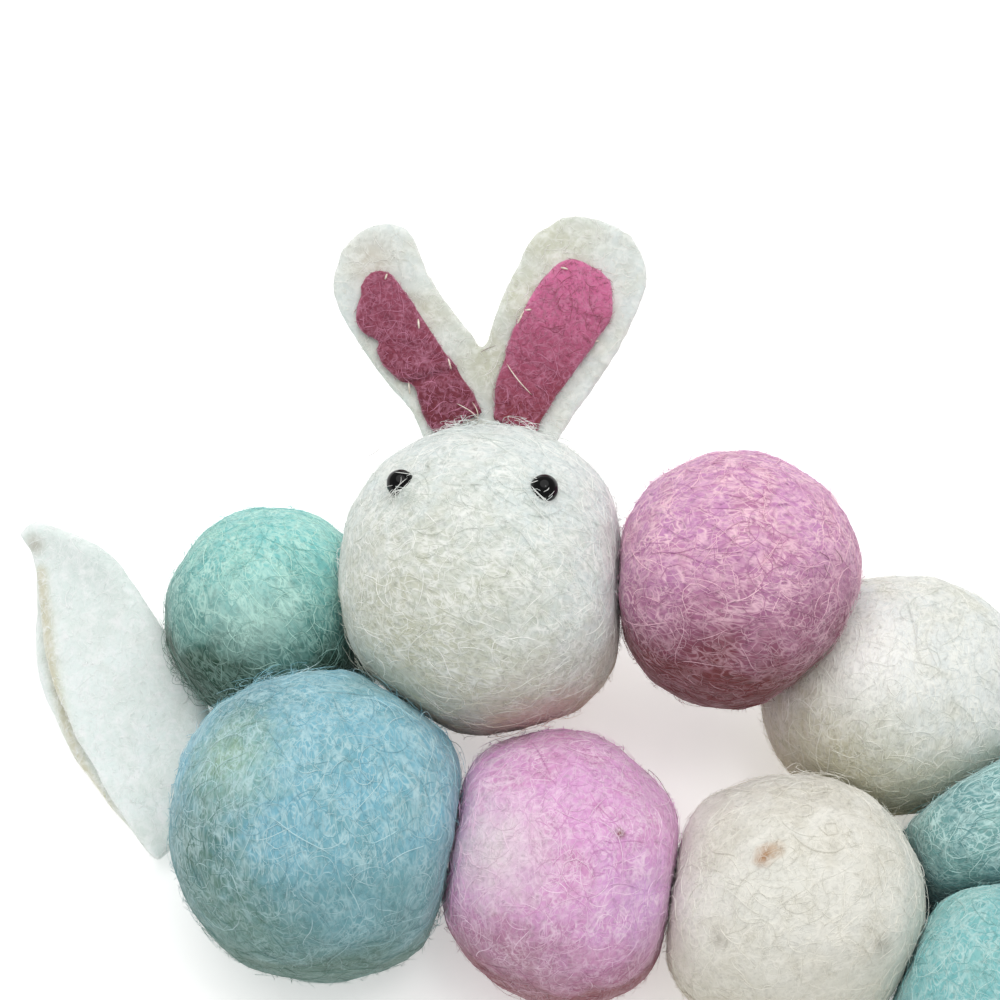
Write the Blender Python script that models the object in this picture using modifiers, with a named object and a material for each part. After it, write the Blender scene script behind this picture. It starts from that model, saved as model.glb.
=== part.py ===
"""Garland of wool felt balls, bunched up on a table, with a rabbit's head and a folded felt leaf.

The x axis runs along the rows of balls, y leads away from the viewer and z is up. The model is in metres.
The tables are in millimetres, from a point on the table under the middle of the bunch.
"""

import math
from collections import namedtuple

import bmesh
import bpy
from mathutils import Matrix, Vector, noise

MM = 0.001

# Sizes that several pieces share
SEAT_GAP = 0.3
PRESS_SOFTNESS = 0.45
NEAR_MISS = 1.2
BALL_SEGMENTS, BALL_RINGS = 30, 18
LUMP_SIZE, LUMP_HEIGHT = 11.0, 0.42
LUMP_SEED_STEP = Vector((7.0, 3.0, 5.0))
EDGE_STEPS = 2
SHARP_EDGE = math.radians(50.0)

# Slope of the rabbit's face and ears: they look up at the viewer
FACE_TILT = math.radians(65.0)

# Wool balls: centre, half sizes along x, y and z, turn about z in degrees, how much each gives way, colour.
# Two balls that press on each other share what they give way in proportion to their softness.
BALL_FULLNESS = 2.15
Ball = namedtuple("Ball", "name x y z rx ry rz turn softness colour")
BALLS = (
    Ball("teal_ball_left", -30.7, -17.1, 16.0, 15.7, 15.0, 16.4, -35.0, 1.0, "teal"),
    Ball("rabbit_head", -1.8, -16.9, 29.5, 20.3, 20.9, 21.0, 0.0, 1.0, "white"),
    Ball("pink_ball_upper", 30.8, -18.2, 33.0, 16.6, 17.2, 16.8, -40.0, 1.0, "orchid"),
    Ball("white_ball", 54.2, -28.3, 16.6, 18.9, 16.3, 17.0, 0.0, 0.4, "white"),
    Ball("teal_ball_right", 65.8, -47.6, 15.0, 15.2, 14.2, 15.4, 0.0, 2.0, "turquoise"),
    Ball("blue_ball", -23.3, -48.2, 20.5, 20.7, 20.5, 21.0, 0.0, 1.0, "blue"),
    Ball("pink_ball_lower", 7.8, -53.0, 17.6, 17.1, 18.9, 18.0, 35.0, 1.0, "pink"),
    Ball("cream_ball", 38.3, -58.8, 18.1, 18.0, 17.6, 18.5, 0.0, 0.7, "cream"),
    Ball("teal_ball_end", 66.2, -71.6, 16.8, 17.0, 16.8, 17.2, 0.0, 1.4, "turquoise"),
)

# Ears: one flat piece of thick felt, drawn from the head's centre in the plane of the face.
# Each ear is a petal on an axis from root to tip, with its width to the left and right of the axis.
EAR_THICKNESS, EAR_EDGE_ROUNDING = 3.0, 1.1
EAR_DEPTH_BEHIND_CENTRE = 6.0
STEPS_A_ROW, TIP_STEPS = 3, 6
Petal = namedtuple("Petal", "root_x root_y lean length")
Width = namedtuple("Width", "along left right")
LEFT_EAR = Petal(-3.7, 16.0, 19.0, 34.2)
LEFT_EAR_WIDTHS = (
    Width(0.0, 3.4, 5.0),
    Width(5.0, 3.4, 6.5),
    Width(10.0, 4.3, 7.6),
    Width(14.0, 6.0, 7.7),
    Width(18.0, 7.3, 6.5),
    Width(24.0, 8.6, 4.5),
    Width(28.0, 8.4, 4.0),
    Width(31.0, 6.8, 3.9),
)
RIGHT_EAR = Petal(4.9, 16.0, -16.0, 34.5)
RIGHT_EAR_WIDTHS = (
    Width(0.0, 5.6, 2.8),
    Width(6.0, 7.4, 4.1),
    Width(11.0, 9.0, 5.9),
    Width(15.0, 9.3, 7.1),
    Width(20.0, 9.0, 8.4),
    Width(26.0, 8.1, 9.4),
    Width(30.0, 6.9, 8.9),
    Width(32.6, 5.0, 6.9),
)

# Linings of the ears: thin pink felt cut by hand, the left one wavy
LINING_THICKNESS, LINING_EDGE_ROUNDING = 1.2, 0.4
LEFT_LINING = Petal(-4.8, 20.6, 27.0, 23.7)
LEFT_LINING_WIDTHS = (
    Width(0.0, 2.2, 4.7),
    Width(3.6, 2.5, 4.7),
    Width(7.4, 2.0, 4.3),
    Width(9.0, 3.2, 4.0),
    Width(11.6, 4.3, 3.7),
    Width(13.8, 4.2, 3.4),
    Width(15.0, 3.4, 3.3),
    Width(16.4, 4.5, 3.1),
    Width(18.4, 4.9, 2.9),
    Width(20.4, 4.1, 2.7),
    Width(21.6, 2.7, 2.4),
)
RIGHT_LINING = Petal(4.2, 20.4, -20.5, 24.5)
RIGHT_LINING_WIDTHS = (
    Width(0.0, 3.6, 2.5),
    Width(4.0, 4.8, 2.9),
    Width(8.0, 5.2, 3.9),
    Width(12.0, 5.4, 5.0),
    Width(16.0, 4.9, 6.0),
    Width(19.0, 4.4, 6.5),
    Width(21.6, 3.5, 5.6),
)

# Eyes: round beads, given by their place on the face
EYE_RADIUS, EYE_SINK = 1.85, 0.35
BEAD_SEGMENTS, BEAD_RINGS = 16, 10
Eye = namedtuple("Eye", "name across up")
EYES = (
    Eye("eye_left", -11.1, 13.0),
    Eye("eye_right", 7.5, 12.4),
)

# Leaf: felt folded lengthwise, with the fold on the right and the open lips on the left.
# Each row is a cross-section: the fold, the lips, how far the upper lip stops short, and how far they gape.
LEAF_THICKNESS, LEAF_LAYER_GAP, LEAF_PINCH = 1.5, 0.6, 0.45
LEAF_PINCHED_SHARE = 0.3
LEAF_STEPS_ALONG, LEAF_STEPS_ACROSS = 20, 14
LeafSection = namedtuple("LeafSection", "fold_x fold_y fold_z lip_x lip_y lip_z short gape")
LEAF_SECTIONS = (
    LeafSection(-67.0, 1.6, 7.6, -68.8, 0.2, 6.8, 0.0, 1.0),
    LeafSection(-61.2, -0.8, 8.6, -67.4, -2.6, 4.4, 0.8, 1.6),
    LeafSection(-54.6, -5.6, 9.3, -67.4, -9.8, 2.4, 2.2, 2.6),
    LeafSection(-50.2, -12.0, 9.2, -67.4, -16.6, 2.3, 2.9, 3.0),
    LeafSection(-45.9, -21.0, 8.0, -64.3, -25.4, 2.3, 2.7, 3.0),
    LeafSection(-42.0, -28.6, 6.3, -58.8, -34.4, 2.2, 2.0, 2.8),
    LeafSection(-40.8, -35.2, 4.7, -53.8, -40.4, 2.1, 1.0, 2.6),
    LeafSection(-41.2, -41.6, 3.5, -47.6, -47.6, 2.0, 0.2, 2.2),
)

Look = namedtuple("Look", "colour roughness")
LOOKS = {
    "white": Look((0.78, 0.78, 0.74), 0.95),
    "cream": Look((0.68, 0.65, 0.58), 0.95),
    "teal": Look((0.26, 0.55, 0.51), 0.95),
    "turquoise": Look((0.26, 0.58, 0.57), 0.95),
    "blue": Look((0.27, 0.51, 0.58), 0.95),
    "orchid": Look((0.63, 0.29, 0.47), 0.95),
    "pink": Look((0.62, 0.34, 0.55), 0.95),
    "felt_white": Look((0.80, 0.83, 0.79), 0.95),
    "felt_pink": Look((0.55, 0.13, 0.27), 0.95),
    "bead_black": Look((0.01, 0.01, 0.012), 0.08),
}


def clear_scene():
    for old in list(bpy.data.objects):
        bpy.data.objects.remove(old)


def new_collection(name):
    collection = bpy.data.collections.new(name)
    bpy.context.scene.collection.children.link(collection)
    return collection


def material(name):
    found = bpy.data.materials.get(name)
    if found:
        return found
    made = bpy.data.materials.new(name)
    made.use_nodes = True
    shader = made.node_tree.nodes["Principled BSDF"]
    shader.inputs["Base Color"].default_value = (*LOOKS[name].colour, 1.0)
    shader.inputs["Roughness"].default_value = LOOKS[name].roughness
    shader.inputs["Metallic"].default_value = 0.0
    return made


def place(name, mesh, collection, parent, matrix, look=None):
    """Object of a mesh, placed in its parent's frame, with its own material where a look is given."""
    made = bpy.data.objects.new(name, mesh)
    collection.objects.link(made)
    made.parent = parent
    made.matrix_local = matrix
    if look:
        mesh.materials.clear()
        mesh.materials.append(material(look))
    return made


def hide_cutter(cutter):
    cutter.hide_render = True
    cutter.display_type = "WIRE"


def face_matrix(head, out=0.0):
    """Frame of the rabbit's face: x across, y up the face, z out to the viewer, from out of the centre."""
    turn = Matrix.Rotation(math.pi / 2 - FACE_TILT, 4, "X")
    return ball_matrix(head) @ turn @ Matrix.Translation(Vector((0.0, 0.0, out * MM)))


def ball_matrix(ball):
    return Matrix.Translation(Vector((ball.x, ball.y, ball.z)) * MM)


def reach(ball, direction):
    """Distance from a ball's centre to its surface along a unit direction, before it is pressed."""
    own = Matrix.Rotation(math.radians(-ball.turn), 3, "Z") @ direction
    scaled = (own.x / ball.rx, own.y / ball.ry, own.z / ball.rz)
    return sum(abs(part) ** BALL_FULLNESS for part in scaled) ** (-1.0 / BALL_FULLNESS)


def lumpy_reach(ball, direction):
    """The same distance with the lumps of hand-felted wool."""
    smooth = reach(ball, direction)
    seed = LUMP_SEED_STEP * BALLS.index(ball)
    return smooth + LUMP_HEIGHT * noise.noise(direction * smooth / LUMP_SIZE + seed)


def press_planes(ball):
    """Planes that a ball's neighbours press on it, as a normal and a distance from its centre."""
    planes = []
    centre = Vector((ball.x, ball.y, ball.z))
    for other in BALLS:
        if other.name == ball.name:
            continue
        between = Vector((other.x, other.y, other.z)) - centre
        apart = between.length
        towards = between / apart
        own = reach(ball, towards)
        overlap = own + reach(other, -towards) - apart
        if overlap > -NEAR_MISS:
            share = ball.softness / (ball.softness + other.softness)
            planes.append((towards, own - overlap * share - SEAT_GAP / 2.0))
    return planes


def pressed(point, planes):
    """A point softly held behind each plane, so that the flat rounds into the ball."""
    for normal, limit in planes:
        beyond = point.dot(normal) - limit
        held = -PRESS_SOFTNESS * math.log1p(math.exp(-beyond / PRESS_SOFTNESS))
        point = point + normal * (held - beyond)
    return point


def wool_ball(ball, collection, parent):
    """Felted ball: a lumpy ellipsoid, pressed by its neighbours, with a flat spot on the table."""
    shape = bmesh.new()
    bmesh.ops.create_uvsphere(shape, u_segments=BALL_SEGMENTS, v_segments=BALL_RINGS, radius=1.0)
    planes = press_planes(ball)
    for vertex in shape.verts:
        way = vertex.co.normalized()
        point = pressed(way * lumpy_reach(ball, way), planes)
        point.z = max(point.z, -ball.z)
        vertex.co = point * MM
    mesh = bpy.data.meshes.new(ball.name)
    shape.to_mesh(mesh)
    shape.free()
    mesh.shade_smooth()
    return place(ball.name, mesh, collection, parent, ball_matrix(ball), ball.colour)


def smooth_between(rows, place_along, names):
    """Values of a table's columns at a place between its rows, on a smooth curve through them."""
    spans = len(rows) - 1
    span = min(int(place_along), spans - 1)
    t = place_along - span
    near = [rows[max(0, min(spans, span + step))] for step in (-1, 0, 1, 2)]
    values = []
    for name in names:
        a, b, c, d = (getattr(row, name) for row in near)
        bend = t * (c - a + t * (2 * a - 5 * b + 4 * c - d + t * (3 * b - a - 3 * c + d)))
        values.append(b + 0.5 * bend)
    return values


def petal_outline(petal, widths):
    """Outline of a petal, up its left side, round the tip and down its right side."""
    lean = Matrix.Rotation(math.radians(petal.lean), 2)
    root = Vector((petal.root_x, petal.root_y))
    left, right = [], []
    for step in range((len(widths) - 1) * STEPS_A_ROW + 1):
        along, to_left, to_right = smooth_between(widths, step / STEPS_A_ROW, Width._fields)
        left.append((-to_left, along))
        right.append((to_right, along))
    end = widths[-1]
    tip = []
    for step in range(1, TIP_STEPS):
        angle = math.pi * step / TIP_STEPS
        side = end.left if angle < math.pi / 2 else end.right
        tip.append((-side * math.cos(angle), end.along + (petal.length - end.along) * math.sin(angle)))
    return [root + lean @ Vector(point) for point in left + tip + right[::-1]]


def flat_felt(name, outline, thickness):
    """Mesh of a flat piece of felt: a filled outline with a thickness, welded into one body."""
    curve = bpy.data.curves.new(name, "CURVE")
    curve.dimensions = "2D"
    curve.fill_mode = "BOTH"
    curve.extrude = thickness * MM / 2
    spline = curve.splines.new("POLY")
    spline.points.add(len(outline) - 1)
    for point, at in zip(spline.points, outline):
        point.co = (at.x * MM, at.y * MM, 0.0, 1.0)
    spline.use_cyclic_u = True
    holder = bpy.data.objects.new(name, curve)
    bpy.context.scene.collection.objects.link(holder)
    bpy.context.view_layer.update()
    evaluated = holder.evaluated_get(bpy.context.evaluated_depsgraph_get())
    mesh = bpy.data.meshes.new_from_object(evaluated)
    bpy.data.objects.remove(holder)
    shape = bmesh.new()
    shape.from_mesh(mesh)
    bmesh.ops.remove_doubles(shape, verts=shape.verts, dist=1e-5)
    shape.to_mesh(mesh)
    shape.free()
    return mesh


def round_edges(piece, width):
    bevel = piece.modifiers.new("soft edges", "BEVEL")
    bevel.width = width * MM
    bevel.segments = EDGE_STEPS
    bevel.limit_method = "ANGLE"
    bevel.angle_limit = SHARP_EDGE
    bevel.loop_slide = False


def cut(piece, cutter, operation="DIFFERENCE"):
    change = piece.modifiers.new(cutter.name, "BOOLEAN")
    change.object = cutter
    change.operation = operation
    change.solver = "EXACT"


def ears(head, collection, cutters, parent):
    """Both ears, one piece of thick felt, trimmed to the back of the head."""
    spot = face_matrix(head, -EAR_DEPTH_BEHIND_CENTRE)
    left = flat_felt("ears", petal_outline(LEFT_EAR, LEFT_EAR_WIDTHS), EAR_THICKNESS)
    piece = place("ears", left, collection, parent, spot, "felt_white")
    right = flat_felt("right_ear_shape", petal_outline(RIGHT_EAR, RIGHT_EAR_WIDTHS), EAR_THICKNESS)
    other = place("right_ear_shape", right, cutters, parent, spot)
    hide_cutter(other)
    cut(piece, other, "UNION")
    round_edges(piece, EAR_EDGE_ROUNDING)
    seat = ball_cutter("ear_seat", head, SEAT_GAP, cutters, parent)
    cut(piece, seat)


def ball_cutter(name, ball, clearance, cutters, parent):
    """A ball's own shape, larger by a clearance, that trims what rests on it."""
    shape = bmesh.new()
    bmesh.ops.create_uvsphere(shape, u_segments=BALL_SEGMENTS, v_segments=BALL_RINGS, radius=1.0)
    for vertex in shape.verts:
        way = vertex.co.normalized()
        vertex.co = way * (lumpy_reach(ball, way) + clearance) * MM
    mesh = bpy.data.meshes.new(name)
    shape.to_mesh(mesh)
    shape.free()
    cutter = place(name, mesh, cutters, parent, ball_matrix(ball))
    hide_cutter(cutter)
    return cutter


def lining(name, petal, widths, collection, cutters, parent, head):
    """Pink lining on the front of an ear, a seat gap off it."""
    front = -EAR_DEPTH_BEHIND_CENTRE + EAR_THICKNESS / 2 + SEAT_GAP + LINING_THICKNESS / 2
    mesh = flat_felt(name, petal_outline(petal, widths), LINING_THICKNESS)
    piece = place(name, mesh, collection, parent, face_matrix(head, front), "felt_pink")
    round_edges(piece, LINING_EDGE_ROUNDING)
    seat = ball_cutter(name + "_seat", head, SEAT_GAP, cutters, parent)
    cut(piece, seat)


def bead(eye, head_ball, head, collection, cutters, parent):
    """Eye bead, bedded in a socket that clears it by the seat gap."""
    out = math.sqrt(head_ball.rz**2 - eye.across**2 - eye.up**2)
    way = (face_matrix(head_ball).to_3x3() @ Vector((eye.across, eye.up, out))).normalized()
    centre = Vector((head_ball.x, head_ball.y, head_ball.z)) + way * (reach(head_ball, way) - EYE_SINK)
    for name, radius, home in (
        (eye.name, EYE_RADIUS, collection),
        (eye.name + "_socket", EYE_RADIUS + SEAT_GAP, cutters),
    ):
        shape = bmesh.new()
        bmesh.ops.create_uvsphere(shape, u_segments=BEAD_SEGMENTS, v_segments=BEAD_RINGS, radius=radius * MM)
        mesh = bpy.data.meshes.new(name)
        shape.to_mesh(mesh)
        shape.free()
        mesh.shade_smooth()
        made = place(name, mesh, home, parent, Matrix.Translation(centre * MM))
        if home == collection:
            mesh.materials.append(material("bead_black"))
    hide_cutter(made)
    cut(head, made)


def leaf_point(along, across):
    """Middle of the folded felt: along runs from tip to base, across from the lower lip to the upper lip."""
    spot = along * (len(LEAF_SECTIONS) - 1)
    row = LeafSection(*smooth_between(LEAF_SECTIONS, spot, LeafSection._fields))
    fold = Vector((row.fold_x, row.fold_y, row.fold_z))
    lip = Vector((row.lip_x, row.lip_y, row.lip_z))
    wide = (lip - fold).length
    outward = (lip - fold) / wide
    ahead = smooth_between(LEAF_SECTIONS, min(spot + 0.1, len(LEAF_SECTIONS) - 1), LeafSection._fields)
    behind = smooth_between(LEAF_SECTIONS, max(spot - 0.1, 0.0), LeafSection._fields)
    lengthwise = Vector(ahead[:3]) - Vector(behind[:3])
    normal = lengthwise.cross(outward).normalized()
    if normal.z < 0:
        normal = -normal
    half = leaf_thickness(along) / 2 + LEAF_LAYER_GAP / 2
    layer_width = wide - (row.short if across > 0 else 0.0)
    away = layer_width * abs(across) ** 1.5
    bend = math.sqrt(1.0 - (1.0 - min(away / half, 1.0)) ** 2)
    rise = half * bend + max(row.gape / 2 - half, 0.0) * abs(across) ** 2
    return fold + outward * away + normal * math.copysign(rise, across)


def leaf_thickness(along):
    """Thickness of the felt, pinched thinner at the tip."""
    pinch = min(along / LEAF_PINCHED_SHARE, 1.0)
    return LEAF_THICKNESS * (LEAF_PINCH + (1.0 - LEAF_PINCH) * pinch)


def folded_leaf(collection, parent):
    """Leaf: an open sheet bent round its fold and given the felt's thickness."""
    shape = bmesh.new()
    bmesh.ops.create_grid(shape, x_segments=LEAF_STEPS_ACROSS, y_segments=LEAF_STEPS_ALONG, size=1.0)
    mesh = bpy.data.meshes.new("folded_leaf")
    shape.verts.ensure_lookup_table()
    pinches = []
    for vertex in shape.verts:
        along = (1.0 - vertex.co.y) / 2
        pinches.append(leaf_thickness(along) / LEAF_THICKNESS)
        vertex.co = leaf_point(along, vertex.co.x) * MM
    shape.to_mesh(mesh)
    shape.free()
    mesh.shade_smooth()
    leaf = place("folded_leaf", mesh, collection, parent, Matrix.Identity(4), "felt_white")
    thinning = leaf.vertex_groups.new(name="pinch")
    for index, pinch in enumerate(pinches):
        thinning.add([index], pinch, "REPLACE")
    felt = leaf.modifiers.new("felt", "SOLIDIFY")
    felt.thickness = LEAF_THICKNESS * MM
    felt.offset = 0.0
    felt.vertex_group = thinning.name


def stand_on_origin(parent, collection):
    """Moves the bunch so that the origin is on the table, under the middle of its outline."""
    bpy.context.view_layer.update()
    depsgraph = bpy.context.evaluated_depsgraph_get()
    corners = []
    for piece in collection.objects:
        if piece.type != "MESH":
            continue
        evaluated = piece.evaluated_get(depsgraph)
        corners += [evaluated.matrix_world @ vertex.co for vertex in evaluated.data.vertices]
    low = Vector([min(corner[axis] for corner in corners) for axis in range(3)])
    high = Vector([max(corner[axis] for corner in corners) for axis in range(3)])
    middle = (low + high) / 2
    parent.location = (-middle.x, -middle.y, -low.z)


def build_garland():
    clear_scene()
    garland = new_collection("felt_easter_garland")
    cutters = new_collection("cutters")
    base = bpy.data.objects.new("garland_base", None)
    garland.objects.link(base)
    balls = {ball.name: wool_ball(ball, garland, base) for ball in BALLS}
    head = next(ball for ball in BALLS if ball.name == "rabbit_head")
    ears(head, garland, cutters, base)
    lining("inner_ear_left", LEFT_LINING, LEFT_LINING_WIDTHS, garland, cutters, base, head)
    lining("inner_ear_right", RIGHT_LINING, RIGHT_LINING_WIDTHS, garland, cutters, base, head)
    for eye in EYES:
        bead(eye, head, balls["rabbit_head"], garland, cutters, base)
    folded_leaf(garland, base)
    stand_on_origin(base, garland)


build_garland()
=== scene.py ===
import math
from collections import namedtuple

import bmesh
import bpy
import numpy as np
from mathutils import Matrix, Vector, noise
from mathutils.bvhtree import BVHTree


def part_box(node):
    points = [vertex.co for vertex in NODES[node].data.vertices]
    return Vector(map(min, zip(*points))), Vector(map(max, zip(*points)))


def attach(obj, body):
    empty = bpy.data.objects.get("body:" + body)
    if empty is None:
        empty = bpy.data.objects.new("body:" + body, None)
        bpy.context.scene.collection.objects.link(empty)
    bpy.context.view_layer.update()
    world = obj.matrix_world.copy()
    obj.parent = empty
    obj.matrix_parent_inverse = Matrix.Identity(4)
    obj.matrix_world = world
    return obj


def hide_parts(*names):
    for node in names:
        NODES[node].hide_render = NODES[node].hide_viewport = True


# Looks of a felt garland: nine balls of needle-felted wool, one of them a rabbit's head with felt ears
# and bead eyes, and a folded leaf of white felt. Sizes are in millimetres unless a name says otherwise.

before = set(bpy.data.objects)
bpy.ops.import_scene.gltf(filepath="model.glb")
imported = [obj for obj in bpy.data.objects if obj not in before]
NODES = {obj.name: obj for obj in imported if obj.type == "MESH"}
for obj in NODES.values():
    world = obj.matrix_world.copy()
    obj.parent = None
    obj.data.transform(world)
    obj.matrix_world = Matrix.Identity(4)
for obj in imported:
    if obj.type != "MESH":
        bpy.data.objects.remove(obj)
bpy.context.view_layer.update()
SCENE = bpy.context.scene
MM = 0.001

# The photograph is square, taken from 0.4 m, and looks down at 65 degrees
PHOTO_SCALE_MM_A_PIXEL = 0.14
PHOTO_PIXELS = 1000
SENSOR = 36.0
CAMERA_DISTANCE = 400.0
CAMERA_ELEVATION = math.radians(65.0)
CAMERA_TARGET = Vector((-7.08, 28.58, 19.0))

# The rabbit's face looks straight at the camera. Its frame: across, up the face, and out to the viewer.
HEAD_CENTRE = Vector((-8.88, 11.68, 29.5))
FACE_TURN = Matrix.Rotation(math.pi / 2 - CAMERA_ELEVATION, 3, "X")
# How far out the ears' front is where nothing is found, and a place in front of the whole face
EAR_FRONT = -4.5
IN_FRONT = 30.0

# Direction from which the soft light falls on the bunch, along which the balls' painted light and painted
# shade run
LIGHT_SIDE = Vector((0.0, 0.62, 0.78))

WOOL_PARTS = "node slot top low dark bright hair contrast zone turn stretch seed patches tufts"
Wool = namedtuple("Wool", WOOL_PARTS)
Patch = namedtuple("Patch", "x y z radius colour strength")
Tuft = namedtuple("Tuft", "x y z radius count length rise")

# Dyed carded wool. Top and low are colours painted for the lit and the shaded side, painted light and
# painted shade, which meet between the heights dark and bright, given as shares of the ball. Hair is the
# loose fibres' colour, with their contrast, painted paler on the lit side, and zone a second wool carded
# in, shown the more the better lit a place is. The fibres run along turn, in degrees from level as the
# camera sees them, drawn out the more the smaller stretch is. Patches are spots of another colour, and
# tufts are hairs pulled out, both where the photograph shows them.
WOOLS = (
    Wool("teal_ball_left", "wool_teal", "#80C8C5", "#10402D", 0.02, 0.85, "#C9EFE3", 1.00, "#A3D6CA",
         125.0, 0.40, 1, (
        Patch(-39.6, 6.5, 30.0, 9.0, "#C6E2D7", 0.45),
    ), (
        Tuft(-37.0, -2.0, 24.0, 6.0, 30, 6.0, 1.6),
        Tuft(-24.5, 3.0, 28.0, 4.0, 16, 6.0, 1.5),
        Tuft(-52.5, 6.0, 13.0, 5.0, 36, 3.0, 1.2),
        Tuft(-50.0, -1.0, 14.0, 5.0, 36, 3.0, 1.2),
    )),
    Wool("rabbit_head", "wool_white", "#DAE3E1", "#C6B399", -0.70, 0.10, "#FAFBF6", 0.85, "#D9DFD8",
         155.0, 0.45, 2, (
        # Partly the wool's yellower cast and partly painted shade, over the head's lower left
        Patch(-17.0, 0.0, 38.0, 25.0, "#C4C5AE", 0.95),
        Patch(-2.0, -7.0, 27.0, 10.0, "#CF9E98", 0.7),
    ), (
        Tuft(-12.0, 28.0, 42.0, 4.0, 26, 6.0, 1.6),
        Tuft(-1.0, 29.0, 42.0, 4.0, 30, 6.0, 1.6),
        Tuft(-22.0, -2.0, 27.0, 5.0, 20, 6.0, 1.5),
        Tuft(-3.0, -8.5, 30.0, 4.0, 12, 7.0, 2.0),
        Tuft(-18.9, 17.0, 46.5, 2.0, 34, 2.6, 1.0),
        Tuft(-2.6, 15.2, 49.0, 2.0, 26, 2.6, 1.0),
    )),
    Wool("pink_ball_upper", "wool_orchid", "#CC8FBE", "#743033", -0.34, 0.68, "#F8D0DC", 1.15, "#BE809E",
         170.0, 0.42, 3, (), ()),
    Wool("white_ball", "wool_white", "#E2E7E4", "#C3B88E", -0.80, 0.20, "#F8F8F0", 0.80, "#D3D3C2",
         75.0, 0.42, 4, (
        Patch(36.0, -7.0, 22.0, 17.0, "#CBC5A5", 0.7),
        # Painted light: a whiter spot that lifts the shade that the upper pink ball casts here
        Patch(41.4, -0.6, 32.6, 9.5, "#FCFCF9", 0.85),
    ), (
        Tuft(40.0, -10.0, 27.0, 4.0, 16, 6.0, 1.5),
    )),
    Wool("teal_ball_right", "wool_turquoise", "#6C9D9E", "#2A545C", -0.50, 0.50, "#CBEAE6", 1.00,
         "#8BBBB4", 20.0, 0.50, 5, (), ()),
    Wool("blue_ball", "wool_blue", "#7DB6C7", "#507468", -0.60, 0.50, "#C6E3E6", 0.75, "#76A5A9",
         95.0, 0.42, 6, (
        Patch(-40.0, -10.5, 35.5, 9.0, "#648F91", 0.75),
        Patch(-42.0, -17.0, 38.0, 10.0, "#A2BF9D", 0.7),
        Patch(-46.0, -27.0, 33.0, 12.0, "#4C7466", 0.9),
        Patch(-41.0, -36.0, 30.0, 12.0, "#5F8475", 0.8),
    ), (
        Tuft(-38.0, -6.0, 33.0, 4.5, 34, 7.0, 1.9),
        Tuft(-17.0, -8.0, 31.0, 4.0, 14, 6.0, 1.5),
        Tuft(-14.0, -33.0, 22.0, 3.5, 12, 5.0, 1.5),
    )),
    Wool("pink_ball_lower", "wool_pink", "#DEA4D3", "#8A4852", -0.60, 0.10, "#F8DFEF", 0.80, "#CB8CB3",
         60.0, 0.60, 7, (
        Patch(-8.0, -27.0, 33.0, 10.0, "#E7D9DE", 0.9),
        Patch(10.8, -32.7, 29.8, 9.0, "#D0A7D8", 0.6),
        # Painted shade: darker low on the ball, near the blue ball
        Patch(-4.3, -38.8, 25.3, 10.0, "#A27483", 0.75),
        Patch(8.2, -25.1, 33.8, 1.1, "#7A4A3C", 1.0),
    ), (
        Tuft(-12.0, -33.0, 20.0, 3.5, 8, 5.0, 1.4),
    )),
    Wool("cream_ball", "wool_cream", "#E4E3DA", "#C2BCA5", -0.64, 0.31, "#F8F5EB", 0.6, "#D2CEBF",
         30.0, 0.60, 8, (
        Patch(26.2, -28.8, 35.8, 1.9, "#A87B52", 0.95),
        Patch(27.8, -28.2, 35.8, 1.6, "#B8946F", 0.95),
        Patch(41.0, -39.0, 30.7, 2.2, "#A8A497", 0.7),
        Patch(20.7, -38.0, 30.6, 2.0, "#A8A497", 0.6),
    ), (
        Tuft(33.0, -15.0, 29.0, 4.0, 24, 6.0, 1.6),
    )),
    Wool("teal_ball_end", "wool_turquoise", "#7DBEBF", "#457B7D", -0.50, 0.50, "#CDE9E5", 0.75,
         "#94C8C3", 100.0, 0.50, 9, (), ()),
)

# Wool pushed up against the eyes, which covers their lower edges
Mound = namedtuple("Mound", "x y z radius height")
MOUNDS = (
    Mound(-18.9, 17.0, 46.5, 3.6, 1.05),
    Mound(-2.6, 15.2, 49.0, 3.2, 0.4),
)

# How a kind of fibre grows: its points and width, the range of its length, how much it curls, how high
# it arches, the range in which its end rises off the felt, and the share of the fibres that rise. Hairs
# that are pulled out take their length and rise from their tuft.
Growth = namedtuple("Growth", "steps width length curl arch rise rising")
CURL_WIDTH, FUZZ_WIDTH = 0.14, 0.08
MATTED = Growth(8, CURL_WIDTH, (2.5, 7.5), 0.42, 0.03, (0.0, 0.0), 0.0)
CURLED = Growth(8, CURL_WIDTH * 0.8, (4.0, 11.0), 0.32, 0.25, (0.2, 0.9), 0.2)
FUZZED = Growth(4, FUZZ_WIDTH, (0.8, 2.2), 0.8, 0.1, (0.15, 0.9), 1.0)
PULLED_OUT = Growth(9, FUZZ_WIDTH * 1.3, None, 0.5, 0.6, None, 1.0)
PRESSED = Growth(8, CURL_WIDTH * 0.8, (2.0, 5.0), 0.5, 0.03, (0.1, 0.4), 0.05)
NAPPED = Growth(4, FUZZ_WIDTH, (0.6, 1.5), 0.8, 0.05, (0.1, 0.45), 1.0)

# Fibres for each square millimetre of a ball, and the share of them that grow underneath
MATTED_A_MM2, CURLED_A_MM2, FUZZED_A_MM2 = 0.288, 0.072, 0.36
UNDERSIDE_SHARE = 0.45
FIBRE_SIDES, FIBRE_THICKNESS = 3, 0.55
THREAD_SIDES, THREAD_POINTS, THREAD_SHADE = 8, 9, 0.8
TUBE_TAPER = 0.35
ANY_WAY = Vector((0.0, 0.0, 0.0))

# Fibres drawn in the felts' skins: size of their curves and their width
STRAND_LAYERS = ((2.4, 0.2), (1.9, 0.18), (1.4, 0.17), (3.1, 0.24), (1.1, 0.15))
PRESSED_LAYERS = ((1.5, 0.14), (2.2, 0.16))
CRAFT_LAYERS = ((1.6, 0.13), (2.3, 0.15))
LINE_REACH = 0.36

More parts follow.
